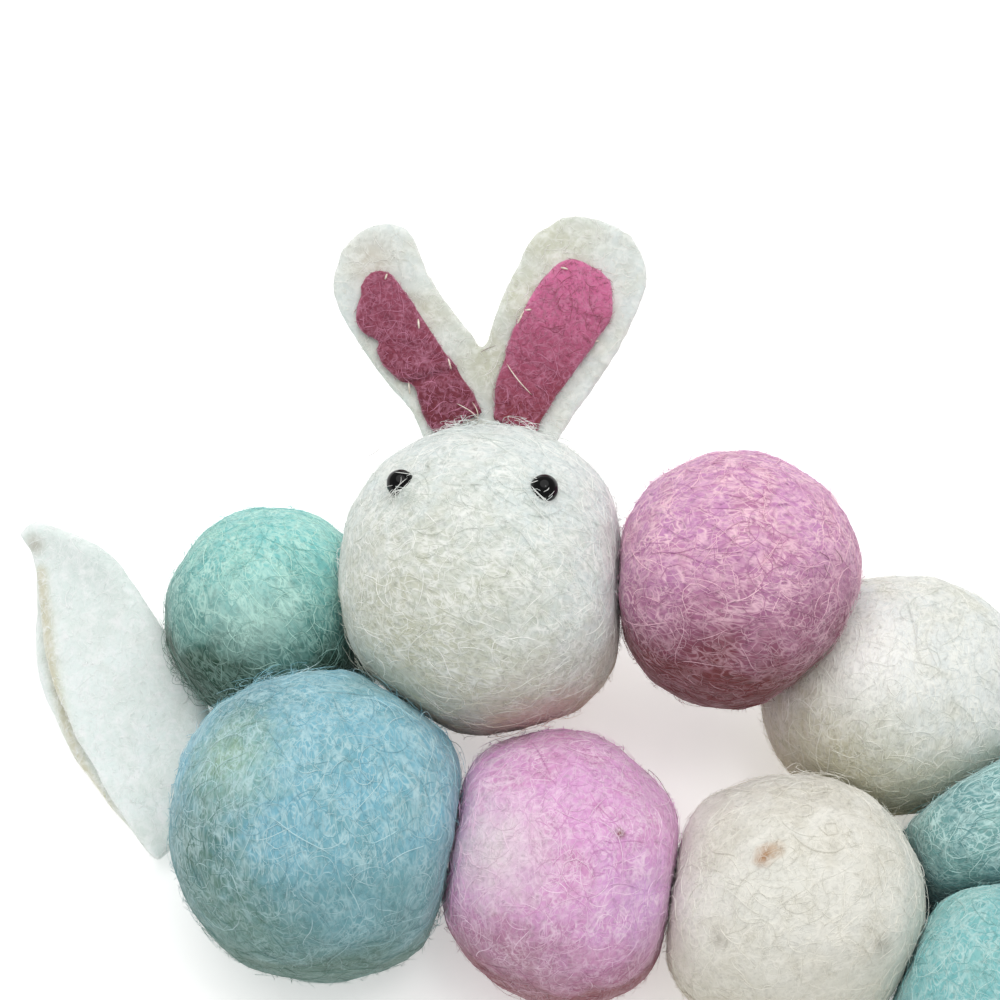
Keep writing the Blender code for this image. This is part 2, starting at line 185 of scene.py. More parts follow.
# Sizes of the patterns in the wool: where its shade wanders, its second colour, ragged edges, fluff,
# clumps and pits, and the clouds in pressed felt
EDGE_MM, ZONE_MM, RAGGED_MM, FLUFF_MM, CLUMP_MM, PIT_MM = 9.0, 6.0, 1.6, 1.2, 3.0, 0.6
CLOUD_MM = 5.0
EDGE_WANDER = 0.9

# Settings of the node that mixes colours, and of the noise
RGBA = {"out": 2, "data_type": "RGBA"}
NOISE = {"noise_dimensions": "4D"}
WOOL_IOR = 1.54
FIBRE_ROUGHNESS = 0.65
SOAK_DEPTH_MM = 0.7

BALL_DIVISIONS, BALL_SMOOTHING = 6, 40
BALL_RELIEF = ((5.0, 0.3), (1.9, 0.14))
TABLE_CLEARANCE = 0.02
BEAD_SEGMENTS, BEAD_RINGS, BEAD_HOLE = 48, 32, 0.5

# Stitches round the linings: middle on the face, turn from level, length and the thread's width
Stitch = namedtuple("Stitch", "across up turn length width")
STITCHES = (
    Stitch(-13.6, 41.1, 70.0, 0.9, 0.26),
    Stitch(-16.6, 38.7, 15.0, 1.2, 0.22),
    Stitch(-9.2, 34.7, 95.0, 1.5, 0.28),
    Stitch(-5.0, 29.3, 105.0, 1.7, 0.24),
    Stitch(-10.5, 26.1, 95.0, 1.8, 0.26),
    Stitch(10.5, 42.2, -15.0, 1.1, 0.28),
    Stitch(16.1, 40.8, -65.0, 2.2, 0.26),
    Stitch(5.6, 36.6, 5.0, 1.1, 0.26),
    Stitch(4.6, 35.6, 63.0, 2.2, 0.24),
    Stitch(14.6, 32.5, -5.0, 1.3, 0.38),
    Stitch(2.75, 29.8, 0.0, 1.3, 0.26),
    Stitch(9.0, 25.2, 10.0, 1.5, 0.26),
    Stitch(3.8, 21.1, 90.0, 1.3, 0.24),
)
# Threads and hairs as the camera sees them: from, to, how far they bow and their width
LooseThread = namedtuple("LooseThread", "across up to_across to_up bow width")
LOOSE_THREADS = (
    LooseThread(2.6, 29.5, 6.3, 24.9, -0.3, 0.16),
    LooseThread(-4.2, 24.0, -1.0, 21.6, 0.5, 0.14),
    LooseThread(-3.4, 20.8, -1.2, 22.0, -0.6, 0.16),
    LooseThread(-2.0, 24.2, -1.6, 20.9, 0.6, 0.13),
)

EYE_HAIRS = (
    LooseThread(-13.9, 12.5, -12.0, 12.8, 0.15, 0.05),
    LooseThread(-12.8, 11.0, -10.1, 13.8, -0.20, 0.10),
    LooseThread(-12.2, 11.2, -10.0, 13.2, 0.15, 0.12),
    LooseThread(-11.9, 14.5, -9.7, 14.2, 0.15, 0.09),
    LooseThread(-11.6, 12.3, -11.0, 14.0, 0.25, 0.05),
    LooseThread(5.5, 13.9, 6.6, 13.6, 0.10, 0.10),
    LooseThread(5.5, 13.0, 6.7, 13.4, 0.10, 0.10),
    LooseThread(5.7, 12.8, 8.3, 10.4, -0.15, 0.13),
    LooseThread(6.0, 12.3, 8.0, 10.2, 0.10, 0.11),
    LooseThread(7.3, 11.9, 8.1, 12.5, 0.22, 0.08),
    LooseThread(7.9, 11.2, 8.8, 12.1, 0.10, 0.06),
)

DARK_HAIRS = (
    LooseThread(20.5, -24.6, 24.4, -29.0, 0.7, 0.08),
    LooseThread(42.6, 4.3, 44.2, 3.2, 0.2, 0.07),
    LooseThread(43.4, 2.8, 44.3, 1.0, -0.2, 0.07),
    LooseThread(44.7, 4.8, 46.1, 2.6, 0.3, 0.07),
    LooseThread(-0.9, 30.9, 1.4, 31.9, -0.2, 0.06),
    LooseThread(-16.5, 16.6, -14.2, 18.2, 0.3, 0.05),
)

# Where the white felt is yellower or greyer: tints of the felt on the ears, and painted shade on the leaf,
# near its tip, at its lower end and along its fold
TintAndShade = namedtuple("TintAndShade", "across up radius colour strength")
EAR_STAINS = (
    TintAndShade(9.3, 45.5, 8.0, "#CFD0BC", 0.8),
    TintAndShade(4.5, 38.1, 6.0, "#CBCCB6", 0.8),
    TintAndShade(0.0, 29.5, 7.0, "#C6C7B4", 0.9),
    TintAndShade(-15.6, 43.3, 5.0, "#CFC8B8", 0.7),
    TintAndShade(-8.5, 36.0, 6.0, "#CCCDBB", 0.6),
)
# Painted shade on the leaf: greyer towards its tip, a painted shadow under its curled tip, and beige shade
# at its lower end
LEAF_SHADES = (
    TintAndShade(-55.4, 1.3, 10.0, "#D9E3DF", 0.7),
    TintAndShade(-65.0, 4.4, 2.2, "#B5AE9C", 0.6),
    TintAndShade(-47.2, -39.1, 3.0, "#C9B592", 0.7),
)
# The leaf's fold from its tip down, as the camera sees it, along whose groove shade is painted, tinted
# beige
LEAF_FOLD = (
    (-64.0, 0.5),
    (-63.2, -4.5),
    (-61.5, -13.5),
    (-59.7, -20.5),
    (-56.9, -26.7),
    (-52.8, -32.3),
    (-46.5, -41.3),
)
FOLD_WIDTH = 1.0
LEAF_WIDTH = 15.0
# Where the leaf is pulled wider by the balls that it is caught between
LEAF_PULL_UP, LEAF_PULL_REACH, LEAF_PULL = -15.5, 8.0, 1.7

# Creases in the linings: from and to on the face, width and depth
LEFT_CREASES = (
    ((-15.8, 33.0), (-9.6, 31.2), 0.9, 0.45),
    ((-12.6, 26.0), (-3.8, 28.6), 0.7, 0.75),
    ((-15.5, 37.2), (-12.0, 33.5), 0.6, 0.3),
)
RIGHT_CREASES = (
    ((3.6, 30.2), (9.5, 27.6), 0.8, 0.25),
    ((12.0, 36.5), (15.4, 34.2), 0.8, 0.2),
)


def linear(colour):
    """Linear colour of an sRGB hex value."""
    parts = [int(colour[i : i + 2], 16) / 255 for i in (1, 3, 5)]
    return [p / 12.92 if p <= 0.04045 else ((p + 0.055) / 1.055) ** 2.4 for p in parts] + [1.0]


def add(tree, kind, inputs=(), out=0, **settings):
    """Adds a node. Its inputs, in order or by name, are values or the sockets that feed them."""
    made = tree.nodes.new("ShaderNode" + kind)
    for name, value in settings.items():
        setattr(made, name, value)
    for socket, value in inputs.items() if isinstance(inputs, dict) else enumerate(inputs):
        if isinstance(value, bpy.types.NodeSocket):
            tree.links.new(value, made.inputs[socket])
        else:
            made.inputs[socket].default_value = value
    return made.outputs[out]


def blank_material(name):
    """Material with a Principled shader and the surface's place in millimetres."""
    made = bpy.data.materials.new(name)
    made.use_nodes = True
    tree = made.node_tree
    shader = tree.nodes["Principled BSDF"]
    place = add(tree, "TexCoord", out="Object")
    mm = add(tree, "VectorMath", (place, (1000.0, 1000.0, 1000.0)), operation="MULTIPLY")
    return made, tree, shader, mm


def set_up(tree, shader, colour, height, strength, depth):
    """Gives a shader its colour and its relief, whose depth is in millimetres."""
    tree.links.new(colour, shader.inputs["Base Color"])
    relief = {"Height": height, "Strength": strength, "Distance": depth * MM}
    tree.links.new(add(tree, "Bump", relief), shader.inputs["Normal"])


def drawn_out(tree, mm, turn, stretch):
    """Coordinates in which a noise is drawn out along a turn in the camera's picture."""
    level = {"Vector": mm, "Angle": CAMERA_ELEVATION - math.pi / 2}
    upright = add(tree, "VectorRotate", level, rotation_type="X_AXIS")
    turned = {"Vector": upright, "Angle": -math.radians(turn)}
    along = add(tree, "VectorRotate", turned, rotation_type="Z_AXIS")
    return add(tree, "VectorMath", (along, (stretch, 1.0, 1.0)), operation="MULTIPLY")


def strand_lines(tree, mm, size, width, seed):
    """Thin curved lines where a noise crosses its middle, like fibres that lie on felt."""
    inputs = {"Vector": mm, "W": seed, "Scale": 1.0 / size, "Detail": 0.0, "Distortion": 0.6}
    field = add(tree, "TexNoise", inputs, **NOISE)
    away = add(tree, "Math", (field, 0.5), operation="SUBTRACT")
    away = add(tree, "Math", (away,), operation="ABSOLUTE")
    return add(tree, "MapRange", (away, 0.0, LINE_REACH * width / size, 1.0, 0.0))


def strand_tangle(tree, mm, layers, seed, seed_step):
    """Several layers of strand lines, each a size of curve and a width, laid over each other."""
    for step, (size, width) in enumerate(layers):
        lines = strand_lines(tree, mm, size, width, seed + seed_step * step)
        if step:
            lines = add(tree, "Math", (tangle, lines), operation="MAXIMUM")
        tangle = lines
    return tangle


def wool_with_painted_light_and_shade(tree, mm, wool):
    """Colour of the carded wool at a place on its ball, with painted light on its lit side and painted
    shade on its shaded side, and how well lit that place is.
    """
    low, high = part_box(wool.node)
    middle = tuple((low + high) / 2 / MM)
    half = (high - low).length / 2 / math.sqrt(3) / MM
    away = add(tree, "VectorMath", (mm, middle), operation="SUBTRACT")
    # Painted light and painted shade: from the low colour to the top colour along the way the light falls
    height = add(tree, "VectorMath", (away, LIGHT_SIDE), out="Value", operation="DOT_PRODUCT")
    inputs = {"Vector": mm, "W": wool.seed, "Scale": 1.0 / EDGE_MM, "Detail": 3.0, "Distortion": 0.4}
    edge = add(tree, "TexNoise", inputs, **NOISE)
    height = add(tree, "Math", (edge, half * EDGE_WANDER, height), operation="MULTIPLY_ADD")
    dark, bright = ((share + EDGE_WANDER / 2) * half for share in (wool.dark, wool.bright))
    lit = add(tree, "MapRange", (height, dark, bright))
    colour = add(tree, "Mix", {0: lit, 6: linear(wool.low), 7: linear(wool.top)}, **RGBA)

    seed = wool.seed + 20.0
    inputs = {"Vector": mm, "W": seed, "Scale": 1.0 / ZONE_MM, "Detail": 3.0, "Distortion": 0.8}
    zone = add(tree, "MapRange", (add(tree, "TexNoise", inputs, **NOISE), 0.46, 0.64, 0.0, 0.6))
    # Part of the painted shade: the second wool shows the more the better lit a place is
    zone = add(tree, "Math", (zone, lit), operation="MULTIPLY")
    colour = add(tree, "Mix", {0: zone, 6: colour, 7: linear(wool.zone)}, **RGBA)

    seed = wool.seed + 40.0
    inputs = {"Vector": mm, "W": seed, "Scale": 1.0 / RAGGED_MM, "Detail": 2.0, "Distortion": 0.5}
    ragged = add(tree, "TexNoise", inputs, **NOISE)
    for patch in wool.patches:
        middle = (patch.x, patch.y, patch.z)
        gap = add(tree, "VectorMath", (mm, middle), out="Value", operation="DISTANCE")
        torn = add(tree, "Math", (ragged, -patch.radius, gap), operation="MULTIPLY_ADD")
        inner, outer = -0.4 * patch.radius, 0.5 * patch.radius
        share = add(tree, "MapRange", (torn, inner, outer, patch.strength, 0.0))
        colour = add(tree, "Mix", {0: share, 6: colour, 7: linear(patch.colour)}, **RGBA)
    return colour, lit


def felted_wool(wool):
    """Needle-felted carded wool: a matt, fuzzy skin of tangled fibres 0.15 mm wide, with painted shade in
    the pits between them.
    """
    made, tree, shader, mm = blank_material("needle_felted_" + wool.node)
    colour, lit = wool_with_painted_light_and_shade(tree, mm, wool)
    # Painted light: the pale hair and fluff show the more the better lit a place is
    pale = add(tree, "MapRange", (lit, 0.0, 1.0, 0.30 * wool.contrast, wool.contrast))
    faint = add(tree, "MapRange", (lit, 0.0, 1.0, 0.05 * wool.contrast, 0.6 * wool.contrast))
    drawn = drawn_out(tree, mm, wool.turn, wool.stretch)
    hair = linear(wool.hair)

    seed = wool.seed + 50.0
    inputs = {"Vector": drawn, "W": seed, "Scale": 1.0 / FLUFF_MM, "Detail": 4.0, "Distortion": 1.2}
    fluff = add(tree, "MapRange", (add(tree, "TexNoise", inputs, **NOISE), 0.45, 0.72, 0.0, faint))
    colour = add(tree, "Mix", {0: fluff, 6: colour, 7: hair}, **RGBA)

    tangle = strand_tangle(tree, drawn, STRAND_LAYERS, wool.seed, 3.1)
    seed = wool.seed + 70.0
    inputs = {"Vector": mm, "W": seed, "Scale": 1.0 / CLUMP_MM, "Detail": 2.0, "Distortion": 0.0}
    clumps = add(tree, "MapRange", (add(tree, "TexNoise", inputs, **NOISE), 0.36, 0.60, 0.25, 0.9))
    strands = add(tree, "MapRange", (tangle, 0.2, 1.0, 0.0, pale))
    seen = add(tree, "Math", (strands, clumps), operation="MULTIPLY")
    colour = add(tree, "Mix", {0: seen, 6: colour, 7: hair}, **RGBA)

    seed = wool.seed + 60.0
    # Painted shade: the colour is darkened in the pits between the fibres
    inputs = {"Vector": mm, "W": seed, "Scale": 1.0 / PIT_MM, "Detail": 3.0, "Distortion": 0.4}
    deepest = 1.0 - 0.25 * wool.contrast
    pits = add(tree, "MapRange", (add(tree, "TexNoise", inputs, **NOISE), 0.30, 0.50, deepest, 1.0))
    shaded = add(tree, "VectorMath", {0: colour, "Scale": pits}, operation="SCALE")
    height = add(tree, "Math", (tangle, 0.35, pits), operation="MULTIPLY_ADD")
    set_up(tree, shader, shaded, height, 0.6, 0.2)
    matt_wool(shader)
    return made


def matt_wool(shader, roughness=0.9, sheen=0.25, soak=0.0):
    """Wool's finish: no gloss and a faint sheen. In thin felt, light also soaks in between the fibres."""
    shader.inputs["Roughness"].default_value = roughness
    shader.inputs["IOR"].default_value = WOOL_IOR
    shader.inputs["Specular IOR Level"].default_value = 0.25
    shader.inputs["Sheen Weight"].default_value = sheen
    shader.inputs["Sheen Roughness"].default_value = 0.5
    shader.inputs["Subsurface Weight"].default_value = soak
    shader.inputs["Subsurface Radius"].default_value = (1.0, 1.0, 1.0)
    shader.inputs["Subsurface Scale"].default_value = SOAK_DEPTH_MM * MM


def loose_wool(wool):
    """Single wool fibres on the ball, paler than the mass: painted light for the light that passes through
    one fibre, the more so the better lit the place.
    """
    made, tree, shader, mm = blank_material("loose_fibres_" + wool.node)
    colour, lit = wool_with_painted_light_and_shade(tree, mm, wool)
    # Painted light: the fibres are paler the better lit a place is
    pale = add(tree, "MapRange", (lit, 0.0, 1.0, 0.35 * wool.contrast, wool.contrast))
    strand = add(tree, "Attribute", out="Fac", attribute_name="strand")
    bleached = add(tree, "MapRange", (strand, 0.35, 1.0, 0.0, 1.3))
    share = add(tree, "Math", (bleached, pale), operation="MULTIPLY")
    colour = add(tree, "Mix", {0: share, 6: colour, 7: linear(wool.hair)}, **RGBA)
    tree.links.new(colour, shader.inputs["Base Color"])
    matt_wool(shader, FIBRE_ROUGHNESS)
    return made


def pressed_felt(name, mesh, main, cloud, pith, seed, tints_and_shades):
    """Pressed wool felt: smoother and tighter than the balls, cloudy, with short fibres matted flat."""
    skin = tree_of(mesh)
    made, tree, shader, mm = blank_material(name)
    inputs = {"Vector": mm, "W": seed, "Scale": 1.0 / CLOUD_MM, "Detail": 4.0, "Distortion": 0.6}
    clouds = add(tree, "MapRange", (add(tree, "TexNoise", inputs, **NOISE), 0.42, 0.66, 0.0, 0.7))
    colour = add(tree, "Mix", {0: clouds, 6: linear(main), 7: linear(cloud)}, **RGBA)
    # Tints of the felt, and on the leaf painted shade
    for tint_and_shade in tints_and_shades:
        middle = face_point(tint_and_shade.across, tint_and_shade.up, front_of([skin], tint_and_shade.across, tint_and_shade.up))
        gap = add(tree, "VectorMath", (mm, middle), out="Value", operation="DISTANCE")
        share = add(tree, "MapRange", (gap, 0.2 * tint_and_shade.radius, tint_and_shade.radius, tint_and_shade.strength, 0.0))
        colour = add(tree, "Mix", {0: share, 6: colour, 7: linear(tint_and_shade.colour)}, **RGBA)

    # Only the leaf has the attribute near_fold. Painted shade, tinted beige, in the groove along the leaf's
    # fold
    fold = add(tree, "Attribute", out="Fac", attribute_name="near_fold")
    fold_shade = add(tree, "MapRange", (fold, 0.0, 1.0, 0.0, 0.8))
    colour = add(tree, "Mix", {0: fold_shade, 6: colour, 7: linear("#CDC7A9")}, **RGBA)

    inputs = {"Vector": mm, "W": seed + 15.0, "Scale": 1.0 / 1.6, "Detail": 4.0, "Distortion": 1.0}
    fluff = add(tree, "MapRange", (add(tree, "TexNoise", inputs, **NOISE), 0.46, 0.70, 0.0, 0.6))
    colour = add(tree, "Mix", {0: fluff, 6: colour, 7: linear(pith)}, **RGBA)
    tangle = strand_tangle(tree, mm, PRESSED_LAYERS, seed, 5.0)
    strands = add(tree, "MapRange", (tangle, 0.2, 1.0, 0.0, 0.35))
    colour = add(tree, "Mix", {0: strands, 6: colour, 7: linear(pith)}, **RGBA)

    # Painted shade: the colour is darkened a little in the pits between the fibres
    inputs = {"Vector": mm, "W": seed + 9.0, "Scale": 1.0 / 0.45, "Detail": 3.0, "Distortion": 0.0}
    pits = add(tree, "MapRange", (add(tree, "TexNoise", inputs, **NOISE), 0.30, 0.50, 0.94, 1.0))
    shaded = add(tree, "VectorMath", {0: colour, "Scale": pits}, operation="SCALE")
    height = add(tree, "Math", (tangle, 0.3, pits), operation="MULTIPLY_ADD")
    set_up(tree, shader, shaded, height, 0.5, 0.15)
    matt_wool(shader, soak=0.7)
    return made


def pink_felt(side, root_colour, tip_colour):
    """Craft felt dyed magenta: brighter at the tips, dusky at the roots, with dark and pale flecks."""
    made, tree, shader, mm = blank_material("magenta_craft_felt_" + side)
    away = add(tree, "VectorMath", (mm, HEAD_CENTRE), operation="SUBTRACT")
    up = FACE_TURN @ Vector((0.0, 1.0, 0.0))
    height = add(tree, "VectorMath", (away, up), out="Value", operation="DOT_PRODUCT")
    inputs = {"Vector": mm, "W": 3.0, "Scale": 1.0 / 4.0, "Detail": 3.0, "Distortion": 0.5}
    edge = add(tree, "TexNoise", inputs, **NOISE)
    height = add(tree, "Math", (edge, 9.0, height), operation="MULTIPLY_ADD")
    tip = add(tree, "MapRange", (height, 28.0, 45.0))
    colour = add(tree, "Mix", {0: tip, 6: linear(root_colour), 7: linear(tip_colour)}, **RGBA)

    inputs = {"Vector": mm, "W": 11.0, "Scale": 1.0 / 0.5, "Detail": 4.0, "Distortion": 0.8}
    dark = add(tree, "MapRange", (add(tree, "TexNoise", inputs, **NOISE), 0.55, 0.68, 0.0, 0.6))
    colour = add(tree, "Mix", {0: dark, 6: colour, 7: linear("#6E2740")}, **RGBA)
    tangle = strand_tangle(tree, mm, CRAFT_LAYERS, 21.0, 4.0)
    strands = add(tree, "MapRange", (tangle, 0.3, 1.0, 0.0, 0.3))
    colour = add(tree, "Mix", {0: strands, 6: colour, 7: linear("#DFA0BB")}, **RGBA)
    inputs = {"Vector": mm, "W": 35.0, "Scale": 1.0 / 0.9, "Detail": 4.0, "Distortion": 1.2}
    fluff = add(tree, "MapRange", (add(tree, "TexNoise", inputs, **NOISE), 0.47, 0.75, 0.0, 0.45))
    colour = add(tree, "Mix", {0: fluff, 6: colour, 7: linear("#DFA0BB")}, **RGBA)

    inputs = {"Vector": mm, "W": 31.0, "Scale": 1.0 / 0.5, "Detail": 3.0, "Distortion": 0.0}
    pits = add(tree, "MapRange", (add(tree, "TexNoise", inputs, **NOISE), 0.30, 0.50))
    height = add(tree, "Math", (tangle, 0.3, pits), operation="MULTIPLY_ADD")
    set_up(tree, shader, colour, height, 0.6, 0.15)
    matt_wool(shader, 0.9, 0.3, 0.5)
    return made


def plain_fibres(name, dark, light):
    """Loose fibres of one dye lot, each a little paler or darker than the next."""
    made, tree, shader, _ = blank_material(name)
    strand = add(tree, "Attribute", out="Fac", attribute_name="strand")
    colour = add(tree, "Mix", {0: strand, 6: linear(dark), 7: linear(light)}, **RGBA)
    tree.links.new(colour, shader.inputs["Base Color"])
    matt_wool(shader, FIBRE_ROUGHNESS)
    return made


def sewing_cotton():
    """Sewing cotton, cream: two plies twisted together, with a slight gloss from its finish."""
    made, tree, shader, mm = blank_material("cream_sewing_cotton")
    inputs = {"Vector": mm, "W": 2.0, "Scale": 1.0 / 0.35, "Detail": 1.0, "Distortion": 0.0}
    ply = add(tree, "TexNoise", inputs, **NOISE)
    share = add(tree, "MapRange", (ply, 0.35, 0.65))
    colour = add(tree, "Mix", {0: share, 6: linear("#D9C6B4"), 7: linear("#FBF3E6")}, **RGBA)
    set_up(tree, shader, colour, ply, 0.5, 0.06)
    shader.inputs["Roughness"].default_value = 0.55
    shader.inputs["IOR"].default_value = 1.53
    return made


def black_glass():
    """Black bead glass, tumbled smooth: a deep black with a clear highlight and faint surface waves."""
    made, tree, shader, mm = blank_material("black_bead_glass")
    inputs = {"Vector": mm, "W": 4.0, "Scale": 1.0 / 0.9, "Detail": 2.0, "Distortion": 0.0}
    waves = add(tree, "TexNoise", inputs, **NOISE)
    share = add(tree, "MapRange", (waves, 0.3, 0.7))
    colour = add(tree, "Mix", {0: share, 6: linear("#020203"), 7: linear("#070708")}, **RGBA)
    set_up(tree, shader, colour, waves, 0.15, 0.03)
    shader.inputs["Roughness"].default_value = 0.07
    shader.inputs["IOR"].default_value = 1.52
    shader.inputs["Specular IOR Level"].default_value = 0.18
    return made


def new_piece(name, mesh, look, replaces=None):
    """Object of a mesh in the row frame, riding on the garland's body."""
    piece = bpy.data.objects.new(name, mesh)
    SCENE.collection.objects.link(piece)
    mesh.materials.clear()
    mesh.materials.append(look)
    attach(piece, "root")
    if replaces:
        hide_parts(replaces)
    return piece


def tree_of(mesh):
    """Search tree of a mesh, in millimetres."""
    points = [vertex.co / MM for vertex in mesh.vertices]
    return BVHTree.FromPolygons(points, [tuple(face.vertices) for face in mesh.polygons])


def smooth(shape, times):
    for _ in range(times):
        bmesh.ops.smooth_vert(
            shape, verts=shape.verts, factor=0.5, use_axis_x=True, use_axis_y=True, use_axis_z=True
        )
    shape.normal_update()


def felt_relief(shape, seed, sizes):
    """Lumps of several sizes and heights on a shape that is in millimetres."""
    offset = Vector((seed * 13.0, 0.0, 0.0))
    for vertex in shape.verts:
        rise = sum(height * noise.noise(vertex.co / size + offset) for size, height in sizes)
        vertex.co += vertex.normal * rise


def raise_mounds(shape):
    for mound in MOUNDS:
        middle = Vector((mound.x, mound.y, mound.z))
        for vertex in shape.verts:
            away = (vertex.co - middle).length / mound.radius
            if away < 1.0:
                vertex.co += vertex.normal * mound.height * (1.0 - away ** 2) ** 2
    shape.normal_update()


def finished(shape, name):
    """Mesh in metres of a shape that is in millimetres, kept above the table."""
    for vertex in shape.verts:
        vertex.co.z = max(vertex.co.z, TABLE_CLEARANCE)
        vertex.co *= MM
    mesh = bpy.data.meshes.new(name)
    shape.to_mesh(mesh)
    shape.free()
    mesh.shade_smooth()
    return mesh


def felt_ball(wool):
    """A ball's skin: the CAD ball with its facets smoothed away, and small lumps and dimples on it."""
    cad = tree_of(NODES[wool.node].data)
    low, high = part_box(wool.node)
    centre = (low + high) / 2 / MM
    shape = bmesh.new()
    bmesh.ops.create_icosphere(shape, subdivisions=BALL_DIVISIONS, radius=1.0)
    for vertex in shape.verts:
        vertex.co = cad.ray_cast(centre, vertex.co.normalized())[0]
    smooth(shape, BALL_SMOOTHING)
    raise_mounds(shape)
    felt_relief(shape, wool.seed, BALL_RELIEF)
    return finished(shape, wool.node + "_felt")


def cut_felt(node, grain, smoothing, relief, seed):
    """Felt cut from the sheet: the CAD piece on an even grid, its edges softened, with small lumps."""
    holder = bpy.data.objects.new("holder", NODES[node].data.copy())
    SCENE.collection.objects.link(holder)
    even = holder.modifiers.new("even", "REMESH")
    even.mode = "VOXEL"
    even.voxel_size = grain * MM
    depsgraph = bpy.context.evaluated_depsgraph_get()
    even_mesh = bpy.data.meshes.new_from_object(holder.evaluated_get(depsgraph))
    bpy.data.objects.remove(holder)
    shape = bmesh.new()
    shape.from_mesh(even_mesh)
    for vertex in shape.verts:
        vertex.co /= MM
    smooth(shape, smoothing)
    felt_relief(shape, seed, relief)
    return shape


def surface_spots(mesh, count_a_mm2, picker):
    """Random places spread evenly over a mesh, in millimetres, with fewer of them underneath."""
    mesh.calc_loop_triangles()
    corners = np.empty(len(mesh.vertices) * 3)
    mesh.vertices.foreach_get("co", corners)
    corners = corners.reshape(-1, 3) / MM
    triangles = np.empty(len(mesh.loop_triangles) * 3, int)
    mesh.loop_triangles.foreach_get("vertices", triangles)
    a, b, c = (corners[triangles.reshape(-1, 3)[:, i]] for i in range(3))
    across = np.cross(b - a, c - a)
    area = np.linalg.norm(across, axis=1) / 2
    underneath = across[:, 2] < -0.2 * 2 * area
    wanted = area * np.where(underneath, UNDERSIDE_SHARE, 1.0)
    count = int(wanted.sum() * count_a_mm2)
    chosen = picker.choice(len(area), count, p=wanted / wanted.sum())
    s, t = np.sqrt(picker.random(count))[:, None], picker.random(count)[:, None]
    return a[chosen] * (1 - s) + b[chosen] * s * (1 - t) + c[chosen] * s * t


Strands = namedtuple("Strands", "paths ups widths shades sides thickness")


def tube_mesh(name, batches, rounded=False):
    """One mesh of many thin strands with pointed ends. Ups is the way that is up along their paths."""
    points, faces, shades, used = [], [], [], 0
    for paths, ups, widths, batch_shades, sides, thickness in batches:
        count, steps = paths.shape[:2]
        along = np.gradient(paths, axis=1)
        along /= np.linalg.norm(along, axis=2, keepdims=True) + 1e-9
        side = np.cross(along, ups)
        side /= np.linalg.norm(side, axis=2, keepdims=True) + 1e-9
        over = np.cross(side, along) * thickness
        radius = widths[:, None] / 2 * np.sin(np.linspace(0.0, math.pi, steps))[None, :] ** TUBE_TAPER
        turns = [math.pi / 2 + 2 * math.pi * turn / sides for turn in range(sides)]
        rings = [paths + (side * math.cos(t) + over * math.sin(t)) * radius[:, :, None] for t in turns]
        inner = np.stack(rings, axis=2)[:, 1:-1].reshape(count, -1, 3)
        batch = np.concatenate([paths[:, :1], inner, paths[:, -1:]], axis=1)
        last = batch.shape[1] - 1
        one = []
        for k in range(sides):
            beside = (k + 1) % sides
            one.append((0, 1 + beside, 1 + k))
            one.append((last, last - sides + k, last - sides + beside))
            for ring in range(steps - 3):
                here = 1 + ring * sides
                one.append((here + k, here + beside, here + sides + beside))
                one.append((here + k, here + sides + beside, here + sides + k))
        starts = used + np.arange(count) * (last + 1)
        faces.append((np.array(one)[None] + starts[:, None, None]).reshape(-1, 3))
        points.append(batch.reshape(-1, 3))
        shades.append(np.repeat(batch_shades, last + 1))
        used += count * (last + 1)
    mesh = bpy.data.meshes.new(name)
    mesh.from_pydata((np.concatenate(points) * MM).tolist(), [], np.concatenate(faces).tolist())
    if rounded:
        mesh.shade_smooth()
    strand = mesh.attributes.new("strand", "FLOAT", "POINT")
    strand.data.foreach_set("value", np.concatenate(shades).astype(np.float32))
    return mesh


def wander(skin, start, picker, flow, kind, length, arch, rise):
    """Path of one fibre over a surface, and the surface's normals. It bends, arches, or ends in the air.

    Flow points the way in which the fibres are carded, and is the longer the better they keep to it."""
    steps = kind.steps
    step = length / (steps - 1)
    bend = picker.normal(0.0, kind.curl)
    swing, phase = picker.normal(0.0, kind.curl), picker.uniform(0.0, 6.3)
    spot, normal = skin.find_nearest(Vector(start))[:2]
    way = Vector(picker.normal(size=3))
    way += flow * way.dot(flow)
    path, ups = [], []
    for k in range(steps):
        along = k / (steps - 1)
        height = arch * math.sin(math.pi * along) + rise * along ** 1.5
        raised = spot + normal * height
        raised.z = max(raised.z, 2 * TABLE_CLEARANCE + CURL_WIDTH / 2)
        path.append(raised)
        ups.append(normal)
        way -= normal * way.dot(normal)
        way.normalize()
        way.rotate(Matrix.Rotation((bend + swing * math.sin(phase + 4.0 * along)) * step, 3, normal))
        spot, normal = skin.find_nearest(spot + way * step)[:2]
    return path, ups


def grow(skin, starts, picker, flow, kind):
    """Batch of fibres of one kind that start at given places on a surface."""
    paths, ups = [], []
    for start in starts:
        length = picker.uniform(*kind.length)
        arch = abs(picker.normal(0.0, kind.arch))
        rise = picker.uniform(*kind.rise) if picker.random() < kind.rising else 0.0
        path, its_ups = wander(skin, start, picker, flow, kind, length, arch, rise)
        paths.append(path)
        ups.append(its_ups)
    widths = kind.width * picker.uniform(0.7, 1.25, len(paths))
    shades = picker.random(len(paths))
    return Strands(np.array(paths), np.array(ups), widths, shades, FIBRE_SIDES, FIBRE_THICKNESS)


